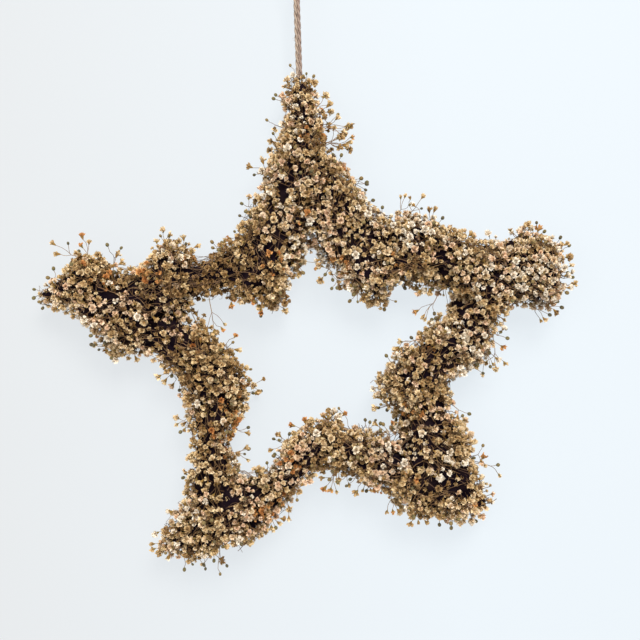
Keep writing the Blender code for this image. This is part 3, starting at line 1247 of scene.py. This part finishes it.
@dataclass
class Wrap:
    """The outer surface of the bunches, on which sprigs sit an even distance apart."""

    nodes: list[bpy.types.Object]
    rng: np.random.Generator
    front_spacing: float = 8.6 * MM
    back_spacing: float = 12.5 * MM
    seam_reach: float = 1.5 * MM
    smoothing: float = 11 * MM
    budded_share: float = 0.20
    throws: int = 26000
    back_facing: float = 0.3
    budless_facing: float = 0.5
    corners: np.ndarray = field(init=False)
    owner: np.ndarray = field(init=False)
    cross: np.ndarray = field(init=False)
    area: np.ndarray = field(init=False)
    middle: np.ndarray = field(init=False)
    tree: BVHTree = field(init=False)

    def __post_init__(self) -> None:
        """Gathers the triangles that face outwards, without those in the seams between bunches."""
        shells = [self.triangles(node) for node in self.nodes]
        kept = []
        owner = []
        for number, shell in enumerate(shells):
            others = shells[:number] + shells[number + 1 :]
            tree = self.tree_of(np.concatenate(others))
            for triangle in shell:
                middle = Vector(triangle.mean(axis=0))
                if tree.find_nearest(middle, self.seam_reach)[0] is None:
                    kept.append(triangle)
                    owner.append(number)
        self.corners = np.array(kept)
        self.owner = np.array(owner)
        first, second, third = (self.corners[:, corner] for corner in range(3))
        self.cross = np.cross(second - first, third - first)
        self.area = np.linalg.norm(self.cross, axis=1) / 2
        self.middle = self.corners.mean(axis=1)
        self.tree = self.tree_of(self.corners)

    @staticmethod
    def tree_of(triangles: np.ndarray) -> BVHTree:
        """Makes a search tree of triangles."""
        corners = [Vector(corner) for corner in triangles.reshape(-1, 3)]
        faces = [(3 * k, 3 * k + 1, 3 * k + 2) for k in range(len(triangles))]
        return BVHTree.FromPolygons(corners, faces)

    @staticmethod
    def triangles(node: bpy.types.Object) -> np.ndarray:
        """Reads a CAD node's triangles as an array of corners."""
        mesh = node.data
        mesh.calc_loop_triangles()
        points = np.zeros(len(mesh.vertices) * 3, np.float32)
        mesh.vertices.foreach_get("co", points)
        index = np.zeros(len(mesh.loop_triangles) * 3, np.int32)
        mesh.loop_triangles.foreach_get("vertices", index)
        return points.reshape(-1, 3)[index].reshape(-1, 3, 3)

    def outwards(self, point: np.ndarray) -> Vector | None:
        """Gives the outward direction of the surface about a point, or None away from it."""
        near = np.linalg.norm(self.middle - point, axis=1) < self.smoothing
        if not near.any():
            return None
        return Vector(self.cross[near].sum(axis=0)).normalized()

    def sunk(self, point: Vector, depth: float) -> tuple[Vector, float]:
        """Moves a point inwards until it is deep enough or in the middle of the wreath.

        Args:
            point: A point on the skin or a little under it.
            depth: How deep it should lie.

        Returns:
            The moved point, and how deep it lies.
        """
        gap = 0.0
        for _ in range(16):
            skin, normal, _, gap = self.tree.find_nearest(point)
            if (point - skin).dot(normal) > 0:
                point = skin - normal * MM
                continue
            if gap >= depth:
                break
            point = point + (point - skin).normalized() * min(MM, depth - gap)
        return point, gap

    def owner_near(self, point: Vector) -> int:
        """Gives the number of the bunch whose skin is nearest to a point."""
        return int(self.owner[np.linalg.norm(self.middle - np.array(point), axis=1).argmin()])

    def seats(self) -> list[Seat]:
        """Throws points on the surface and keeps those that are far enough from the others."""
        order = self.rng.choice(len(self.area), self.throws, p=self.area / self.area.sum())
        taken = np.zeros((0, 3))
        found: list[Seat] = []
        for index in order:
            luck, *cuts = self.rng.uniform(0, 1, 3)
            first, second = sorted(cuts)
            weights = np.array([first, second - first, 1 - second])
            point = weights @ self.corners[index]
            backward = self.cross[index][1] / (2 * self.area[index] + 1e-12)
            seen = VIEW.seen(Vector(point))
            bare = backward < 0 and any(gap.holds(seen) for gap in GAPS)
            behind = backward > self.back_facing
            spacing = self.back_spacing if behind else self.front_spacing
            if len(taken) and (np.linalg.norm(taken - point, axis=1) < spacing).any():
                continue
            taken = np.vstack([taken, point])
            way = self.outwards(point)
            node = int(self.owner[index])
            growth = Growth.PLAIN if behind else Growth.FULL
            if any(edge.holds(seen) for edge in EDGES):
                growth = Growth.LOOSE
            growth = Growth.DEEP if bare else growth
            found.append(Seat(Vector(point), way, node, growth, 2 * len(taken)))
            if luck < self.budded_share and backward < self.budless_facing and not bare:
                growth = Growth.BUDDED
                found.append(Seat(Vector(point), way, node, growth, 2 * len(taken) + 1))
        return found


@dataclass
class Bunch:
    """One bunch of the wreath: a heart of packed stems, painted dark as shade, with sprigs all
    round it.
    """

    node: bpy.types.Object
    wrap: Wrap
    sprigs: dict[Growth, list[Template]]
    coats: list[bpy.types.Material]
    sink: float = 11 * MM
    least_sink: float = 4.5 * MM
    heart_share: float = 0.62
    heart_size: tuple[float, float, float] = (1.06, 1.0, 1.06)
    # How light the heart's painted shade is at the back and at the front.
    heart_shades: tuple[float, float] = (0.75, 0.2)
    seam_smoothing: int = 8
    lean: float = 0.30
    depth_shade: float = 0.07
    rust_share: float = 0.05
    rosy_share: float = 0.06
    white_share: float = 0.04
    rust_limit: float = 0.25
    rosy_tint: float = 0.86
    white_tint: float = 0.97
    ages: tuple[float, float] = (0.28, 0.52)
    age_drift: float = 0.18
    rust_spread: float = 0.03
    rosy_spread: float = 0.04
    usual_spread: float = 0.12
    dulling: float = 1.5
    middle_height: float = 5.0
    spray_tints: tuple[float, float] = (0.12, 0.75)
    spray_rust: float = 0.08
    stalk_reach: tuple[float, float] = (5, 13)
    stalk_depths: tuple[float, float] = (3.0, 9.0)
    stalk_radii: tuple[float, float] = (0.13, 0.24)
    stalk_seed: int = 5
    sprig_seed: int = 6
    spray_seed: int = 7
    stalks_each: ClassVar[dict[Growth, int]] = {
        Growth.FULL: 2,
        Growth.LOOSE: 2,
        Growth.PLAIN: 6,
        Growth.DEEP: 4,
        Growth.BUDDED: 1,
    }

    def heart(self, bm: bmesh.types.BMesh) -> None:
        """Shrinks a copy of the bunch's solid into its heart."""
        core = fresh()
        core.from_mesh(self.node.data)
        bmesh.ops.remove_doubles(core, verts=core.verts, dist=0.02 * MM)
        axes = {"use_axis_x": True, "use_axis_y": True, "use_axis_z": True}
        shallow = []
        for vert in core.verts:
            way = self.wrap.outwards(np.array(vert.co))
            if way is not None:
                start = vert.co - way * MM
                middle = self.wrap.sunk(start, self.sink * 1.6)[1]
                vert.co, gap = self.wrap.sunk(start, min(self.sink, middle * self.heart_share))
                if gap < self.least_sink:
                    shallow.append(vert)
        for _ in range(self.seam_smoothing):
            bmesh.ops.smooth_vert(core, verts=shallow, factor=1.0, **axes)
        bmesh.ops.smooth_vert(core, verts=core.verts, factor=0.5, **axes)
        centre = sum((vert.co for vert in core.verts), Vector()) / len(core.verts)
        bmesh.ops.scale(
            core, vec=self.heart_size, space=Matrix.Translation(-centre), verts=core.verts
        )
        core.normal_update()
        paint(core, core.faces, Band.HEART, self.heart_shade)
        shell = bpy.data.meshes.new("heart")
        core.to_mesh(shell)
        core.free()
        bm.from_mesh(shell)
        bpy.data.meshes.remove(shell)

    def heart_shade(self, vert: bmesh.types.BMVert) -> float:
        """Gives v for a point of the heart: painted shade, darker at the front where it lies deep
        in the gaps, lighter at the back, and blotched.
        """
        back, front = self.heart_shades
        return (back if vert.normal.y > 0.2 else front) + noise.noise(vert.co * 500) * 0.4

    def stalks(self, bm: bmesh.types.BMesh, seats: list[Seat]) -> None:
        """Lays loose thin stems under the heads, roughly along the bunch, painted dark as the shade
        deep under the heads.
        """
        points = np.array([tuple(vert.co) for vert in self.node.data.vertices])
        axis = Vector(np.linalg.svd(points - points.mean(axis=0), full_matrices=False)[2][0])
        for seat in seats:
            rng = np.random.default_rng((self.stalk_seed, seat.seed))
            for _ in range(self.stalks_each[seat.growth]):
                along = axis + Vector(rng.normal(0, 0.45, 3))
                along = (along - seat.way * along.dot(seat.way)).normalized()
                middle = seat.point + Vector(rng.normal(0, 3, 3)) * MM
                reach = rng.uniform(*self.stalk_reach) * MM
                depths = rng.uniform(*self.stalk_depths, 5) * MM
                path = []
                for number, depth in enumerate(np.sort(depths)[:: rng.choice((-1, 1))]):
                    spot = middle + along * reach * (number / 2 - 1)
                    found, way, _, _ = self.wrap.tree.find_nearest(spot)
                    path.append(found - way * depth + Vector(rng.normal(0, 0.4, 3)) * MM)
                faces, shares = tube(bm, path, rng.uniform(*self.stalk_radii) * MM, 3)
                # Painted shade: stalks under front sprigs mostly take the dark end of the stem
                # colours, and all stalks pale little.
                plain = seat.growth is Growth.PLAIN
                across = rng.uniform(0, 1) if plain else 1 - rng.uniform(0, 1) ** 2 * 0.8
                paint(bm, faces, Band.STEM, lambda vert: shares[vert] * 0.3, across)

    def tints(self, point: Vector, heights: np.ndarray, rng: np.random.Generator) -> np.ndarray:
        """Draws the petal tints of a sprig's heads, which have aged much alike.

        Args:
            point: Where the sprig is; the tint drifts from place to place, partly as the patches'
                painted light and shade.
            heights: How high each head stands; the deeper ones are painted darker, as shade.
            rng: The sprig's own luck.

        Returns:
            The tints, from 0 to 1.
        """
        luck, age_and_shade = rng.uniform(0, 1, 2)
        spread = rng.normal(0, 1, len(heights))
        drift, rose = Patch.at(VIEW.seen(point))
        if luck < self.rust_share and drift < self.rust_limit:
            return np.clip(np.abs(spread) * self.rust_spread, 0, 1)
        if luck < self.rust_share + self.rosy_share + rose:
            age_and_shade = self.rosy_tint + min(drift, 0) * self.dulling
            return np.clip(age_and_shade + spread * self.rosy_spread, 0.1, 1)
        youngest, range_of_age = self.ages
        # The patches' drift adds their painted light and shade to the tint.
        age_and_shade = youngest + range_of_age * age_and_shade + noise.noise(point * 28) * self.age_drift + drift
        if luck > 1 - self.white_share:
            age_and_shade = self.white_tint + min(drift, 0) * self.dulling
        # Painted shade: heads that sit deeper take a darker tint.
        deep = (heights / MM + self.middle_height) * self.depth_shade
        return np.clip(age_and_shade + deep + spread * self.usual_spread, 0.08, 1)

    def seat_sprig(self, bm: bmesh.types.BMesh, seat: Seat) -> None:
        """Sets one sprig in its seat, leaning a little towards the points of the star."""
        rng = np.random.default_rng((self.sprig_seed, seat.seed))
        out = seat.point - STAR_CENTRE
        out.y = 0
        way = seat.way + out.normalized() * self.lean * rng.uniform(0, 1)
        way += Vector(rng.normal(0, 0.13, 3))
        turn = way.normalized().to_track_quat("Z", "Y").to_matrix().to_4x4()
        spin = Matrix.Rotation(rng.uniform(0, math.tau), 4, "Z")
        sink = Vector(way.normalized()) * rng.normal(-0.3, 1.0) * MM
        spot = Matrix.Translation(seat.point + sink) @ turn @ spin
        variants = self.sprigs[seat.growth]
        template = variants[int(rng.integers(len(variants)))]
        template.place(bm, spot, self.tints(seat.point, template.heights, rng))

    def build(self, seats: list[Seat], sprays: list[Template]) -> bpy.types.Object:
        """Makes the bunch's piece.

        Args:
            seats: The places of its sprigs.
            sprays: The long sprigs that grow from it.

        Returns:
            The finished piece, in place of its CAD node.
        """
        bm = fresh()
        self.heart(bm)
        self.stalks(bm, seats)
        for seat in seats:
            self.seat_sprig(bm, seat)
        rng = np.random.default_rng(self.spray_seed)
        for spray in sprays:
            middle = Vector(spray.points.mean(axis=0).tolist())
            tints = rng.uniform(*self.spray_tints, len(spray.heights))
            rust = self.spray_rust + Patch.at(VIEW.seen(middle))[1]
            rusty = rng.uniform(0, 1, len(tints)) < rust
            spray.place(bm, Matrix(), np.where(rusty, tints * 0.06, tints))
        mesh = bpy.data.meshes.new(f"{self.node.name}_flowers")
        bm.to_mesh(mesh)
        bm.free()
        mesh.attributes.remove(mesh.attributes[BLOOM_LAYER])
        for coat in self.coats:
            mesh.materials.append(coat)
        piece = bpy.data.objects.new(f"{self.node.name}_flowers", mesh)
        bpy.context.scene.collection.objects.link(piece)
        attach(piece, BODY)
        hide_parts(self.node.name)
        return piece


@dataclass
class JuteTwine:
    """The doubled two-ply twine, from its top eye down into the top of the star."""

    diameter: float = 2.0 * MM
    leg: float = 1.05 * MM
    foot: float = -83.7 * MM
    neck: float = -26 * MM
    eye: float = 5 * MM
    lay_length: float = 11 * MM
    ply_offset: float = 0.21
    ply_radius: float = 0.42
    ply_sides: int = 8
    relief: tuple[float, float] = (0.30, 0.27)
    steps: int = 361
    fibres: int = 70
    fibre_radius: float = 0.07 * MM
    fibre_foot: float = 0.42
    fibre_reach: tuple[float, float] = (0.25, 1.8)
    fibre_run: tuple[float, float] = (1.0, 2.6)

    def route(self) -> list[Vector]:
        """Gives the centreline's points: up the left leg, round the eye and down the right one."""
        left = [
            Vector((-self.leg, 0, self.foot + (self.neck - self.foot) * share))
            for share in (0, 0.25, 0.5, 0.75)
        ]
        for share in (0, 0.15, 0.3, 0.45, 0.6, 0.75, 0.9):
            opened = (self.eye - self.leg) * (0.5 - 0.5 * math.cos(math.pi * share))
            left.append(Vector((-self.leg - opened, 0, self.neck * (1 - share) - self.eye * share)))
        for degrees in (0, 22.5, 45, 67.5):
            angle = math.radians(degrees)
            left.append(
                Vector((-self.eye * math.cos(angle), 0, self.eye * (math.sin(angle) - 1)))
            )
        right = [Vector((-point.x, 0, point.z)) for point in reversed(left)]
        return [*left, Vector((0, 0, 0)), *right]

    def smooth(self, steps: int) -> list[Vector]:
        """Lays even steps along a smooth curve through the route."""
        points = self.route()
        padded = [points[0] * 2 - points[1], *points, points[-1] * 2 - points[-2]]
        fine: list[Vector] = []
        for before, start, end, after in zip(padded, padded[1:], padded[2:], padded[3:]):
            for number in range(12):
                t = number / 12
                fine.append(
                    0.5
                    * (
                        2 * start
                        + (end - before) * t
                        + (2 * before - 5 * start + 4 * end - after) * t * t
                        + (3 * start - before - 3 * end + after) * t * t * t
                    )
                )
        fine.append(points[-1])
        reach = [0.0]
        for start, end in zip(fine, fine[1:]):
            reach.append(reach[-1] + (end - start).length)
        even = np.linspace(0, reach[-1], steps)
        axes = [np.interp(even, reach, [point[axis] for point in fine]) for axis in range(3)]
        return [Vector(point) for point in zip(*axes)]

    def paint_ply(
        self,
        bm: bmesh.types.BMesh,
        faces: list[bmesh.types.BMFace],
        shares: dict[bmesh.types.BMVert, float],
        left: float,
        width: float,
    ) -> None:
        """Unrolls a ply in its own strip of the map, v along it and u round it."""
        layer = bm.loops.layers.uv[UV_NAME]
        turns: dict[bmesh.types.BMVert, int] = {}
        for vert, share in shares.items():
            linked = [edge.other_vert(vert) for edge in vert.link_edges]
            before = [other for other in linked if shares[other] < share]
            turns[vert] = turns[before[0]] if before else len(turns)
        for face in faces:
            numbers = [turns[loop.vert] for loop in face.loops]
            closing = max(numbers) - min(numbers) > 1
            for loop, number in zip(face.loops, numbers):
                turn = self.ply_sides if closing and number == 0 else number
                loop[layer].uv = (left + width * turn / self.ply_sides, shares[loop.vert])

    def build(self, coat: bpy.types.Material, rng: np.random.Generator) -> bpy.types.Object:
        """Makes the twine.

        Args:
            coat: The jute finish.
            rng: Draws the loose fibres.

        Returns:
            The finished piece, in place of its CAD node.
        """
        line = self.smooth(self.steps)
        length = sum((end - start).length for start, end in zip(line, line[1:]))
        bm = bmesh.new()
        bm.loops.layers.uv.new(UV_NAME)
        relief = bm.verts.layers.float.new(CLEFT_SHADE_LAYER)
        for ply in range(2):
            path = []
            for number, point in enumerate(line):
                ahead = line[min(number + 1, self.steps - 1)]
                along = (ahead - line[max(number - 1, 0)]).normalized()
                side = along.cross(Vector((0, 1, 0))).normalized()
                turned = length * number / (self.steps - 1) / self.lay_length
                angle = math.tau * (turned + ply / 2)
                swing = side * math.cos(angle) + Vector((0, 1, 0)) * math.sin(angle)
                path.append(point + swing * self.diameter * self.ply_offset)
            radius = self.diameter * self.ply_radius
            faces, shares = tube(bm, path, radius, self.ply_sides, closed=True)
            bmesh.ops.recalc_face_normals(bm, faces=faces)
            self.paint_ply(bm, faces, shares, 0.02 + 0.48 * ply, 0.44)
            # Painted shade: each vertex's share of light falls to 0 towards the twine's middle, in
            # the cleft between the plies.
            for vert, share in shares.items():
                middle = line[round(share * (self.steps - 1))]
                reach = (vert.co - middle).length / self.diameter
                vert[relief] = min(max((reach - self.relief[0]) / self.relief[1], 0.0), 1.0)
        self.fuzz(bm, line, rng)
        mesh = bpy.data.meshes.new("twine_loop_jute")
        bm.to_mesh(mesh)
        bm.free()
        mesh.shade_smooth()
        mesh.materials.append(coat)
        piece = bpy.data.objects.new("twine_loop_jute", mesh)
        bpy.context.scene.collection.objects.link(piece)
        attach(piece, BODY)
        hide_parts("twine_loop")
        self.smooth(64)
        return piece

    def fuzz(self, bm: bmesh.types.BMesh, line: list[Vector], rng: np.random.Generator) -> None:
        """Lets short loose fibres stand off the twine."""
        layer = bm.loops.layers.uv[UV_NAME]
        relief = bm.verts.layers.float[CLEFT_SHADE_LAYER]
        for _ in range(self.fibres):
            number = int(rng.integers(4, len(line) - 5))
            along = (line[number + 1] - line[number]).normalized()
            out = Vector(rng.normal(0, 1, 3))
            out = (out - along * out.dot(along)).normalized()
            start = line[number] + out * self.diameter * self.fibre_foot
            reach = rng.uniform(*self.fibre_reach) * MM
            run = along * rng.choice((-1, 1)) * rng.uniform(*self.fibre_run) * MM
            middle = start + run * 0.5 + out * reach * 0.35
            end = start + run + out * reach
            faces, shares = tube(bm, [start, middle, end], self.fibre_radius, 3)
            # Loose fibres stand clear of the clefts and take no painted shade.
            for vert in shares:
                vert[relief] = 1.0
            v = number / len(line)
            for face in faces:
                for corner, loop in enumerate(face.loops):
                    loop[layer].uv = (0.95 + 0.01 * corner, v + 0.002 * (corner % 2))


@dataclass
class Studio:
    """The camera at the photograph's view, soft light, the wall behind and the floor below."""

    wall: float = 0.021
    floor: float = -1.2
    spread: float = 3.0
    room_colour: Colour = linear(232, 236, 242)
    room_strength: float = 0.32

    def camera(self) -> None:
        """Sets the camera square to the wreath, rolled as the photograph is."""
        data = bpy.data.cameras.new("camera")
        data.lens = VIEW.lens
        data.sensor_width = VIEW.sensor
        data.clip_start = 0.01
        camera = bpy.data.objects.new("camera", data)
        place = Vector(VIEW.target) - Vector((0, VIEW.distance, 0))
        camera.matrix_world = Matrix.Translation(place) @ VIEW.turn.to_4x4()
        bpy.context.scene.collection.objects.link(camera)
        bpy.context.scene.camera = camera

    def lamp(
        self,
        name: str,
        place: tuple[float, float, float],
        size: float,
        power: float,
        colour: tuple[float, float, float] = (255, 255, 255),
    ) -> None:
        """Hangs one soft square lamp that faces the wreath."""
        data = bpy.data.lights.new(name, "AREA")
        data.shape = "SQUARE"
        data.size = size
        data.energy = power
        data.color = linear(*colour)[:3]
        lamp = bpy.data.objects.new(name, data)
        lamp.location = place
        way = STAR_CENTRE - Vector(place)
        lamp.rotation_euler = way.to_track_quat("-Z", "Y").to_euler()
        bpy.context.scene.collection.objects.link(lamp)

    def lights(self) -> None:
        """Hangs the lamps and sets the even light of the room."""
        self.lamp("key_lamp", (0.35, -1.5, 0.75), 0.8, 41.0, (255, 252, 246))
        self.lamp("fill_lamp", (-0.9, -1.5, 0.0), 1.0, 10.0)
        self.lamp("back_lamp", (-0.5, 1.2, 0.4), 0.7, 16.0)
        world = bpy.data.worlds.new("room")
        world.use_nodes = True
        background = world.node_tree.nodes["Background"]
        background.inputs[0].default_value = self.room_colour
        background.inputs[1].default_value = self.room_strength
        bpy.context.scene.world = world

    def panel(self, finish: StageFinish, matrix: Matrix) -> bpy.types.Object:
        """Makes one flat stage surface."""
        name = finish.name
        bm = bmesh.new()
        bmesh.ops.create_grid(bm, x_segments=1, y_segments=1, size=self.spread, matrix=matrix)
        mesh = bpy.data.meshes.new(name)
        bm.to_mesh(mesh)
        bm.free()
        mesh.materials.append(finish.material())
        panel = bpy.data.objects.new(name, mesh)
        bpy.context.scene.collection.objects.link(panel)
        return panel

    def stage(self) -> None:
        """Puts up the wall and the floor."""
        upright = Matrix.Translation((0, self.wall, -0.2)) @ Matrix.Rotation(math.pi / 2, 4, "X")
        finish = StageFinish("wall", linear(235, 238, 240), linear(241, 249, 255))
        wall = self.panel(finish, upright)
        pale = linear(236, 236, 236)
        level = Matrix.Translation((0, 0, self.floor))
        floor = self.panel(StageFinish("floor", pale, pale), level)
        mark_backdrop(wall, floor)

    def build(self) -> None:
        """Builds all of it."""
        self.camera()
        self.lights()
        self.stage()
        bpy.context.scene.view_settings.view_transform = "Standard"


def corners() -> list[list[float]]:
    """Gives the shown object's lowest and highest corners as plain lists."""
    return [list(corner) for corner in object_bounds()]


def main() -> None:
    """Builds the camera, the twine and then the bunches."""
    logging.basicConfig(level=logging.INFO, format="%(message)s")
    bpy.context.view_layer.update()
    Studio().build()
    twine = JuteTwine().build(JuteFinish().material(), np.random.default_rng(20))
    log.info("%s: %d faces", twine.name, len(twine.data.polygons))
    heads, buds = BloomMaker(np.random.default_rng(21)).all()
    maker = SprigMaker(np.random.default_rng(22), heads, buds)
    sprigs = {
        growth: [maker.make(growth, number) for number in range(count)]
        for growth, count in VARIANTS.items()
    }
    nodes = [node for name, node in sorted(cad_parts.items()) if name != "twine_loop"]
    wrap = Wrap(nodes, np.random.default_rng(23))
    seats = wrap.seats()
    log.info("%d sprigs", len(seats))
    sprays: dict[int, list[Template]] = {number: [] for number in range(len(nodes))}
    spray_maker = SprigMaker(np.random.default_rng(24), heads, buds)
    for number, spray in enumerate(SPRAYS):
        root = wrap.sunk(VIEW.point(*spray.root, spray.depth), 5 * MM)[0]
        sprays[wrap.owner_near(root)].append(spray_maker.spray(spray, root, number))
    coats = [PetalFinish().material(), GreensFinish().material(), HeartFinish().material()]
    total = 0
    for number, node in enumerate(nodes):
        own = [seat for seat in seats if seat.node == number]
        piece = Bunch(node, wrap, sprigs, coats).build(own, sprays[number])
        piece.data.calc_loop_triangles()
        triangles = len(piece.data.loop_triangles)
        total += triangles
        log.info("%s: %d sprigs, %d triangles", piece.name, len(own), triangles)
    log.info("%d triangles of flowers", total)
    for templates in (*heads.values(), buds, *sprigs.values(), *sprays.values()):
        for template in templates:
            bpy.data.meshes.remove(template.mesh)


if __name__ == "__main__":
    main()
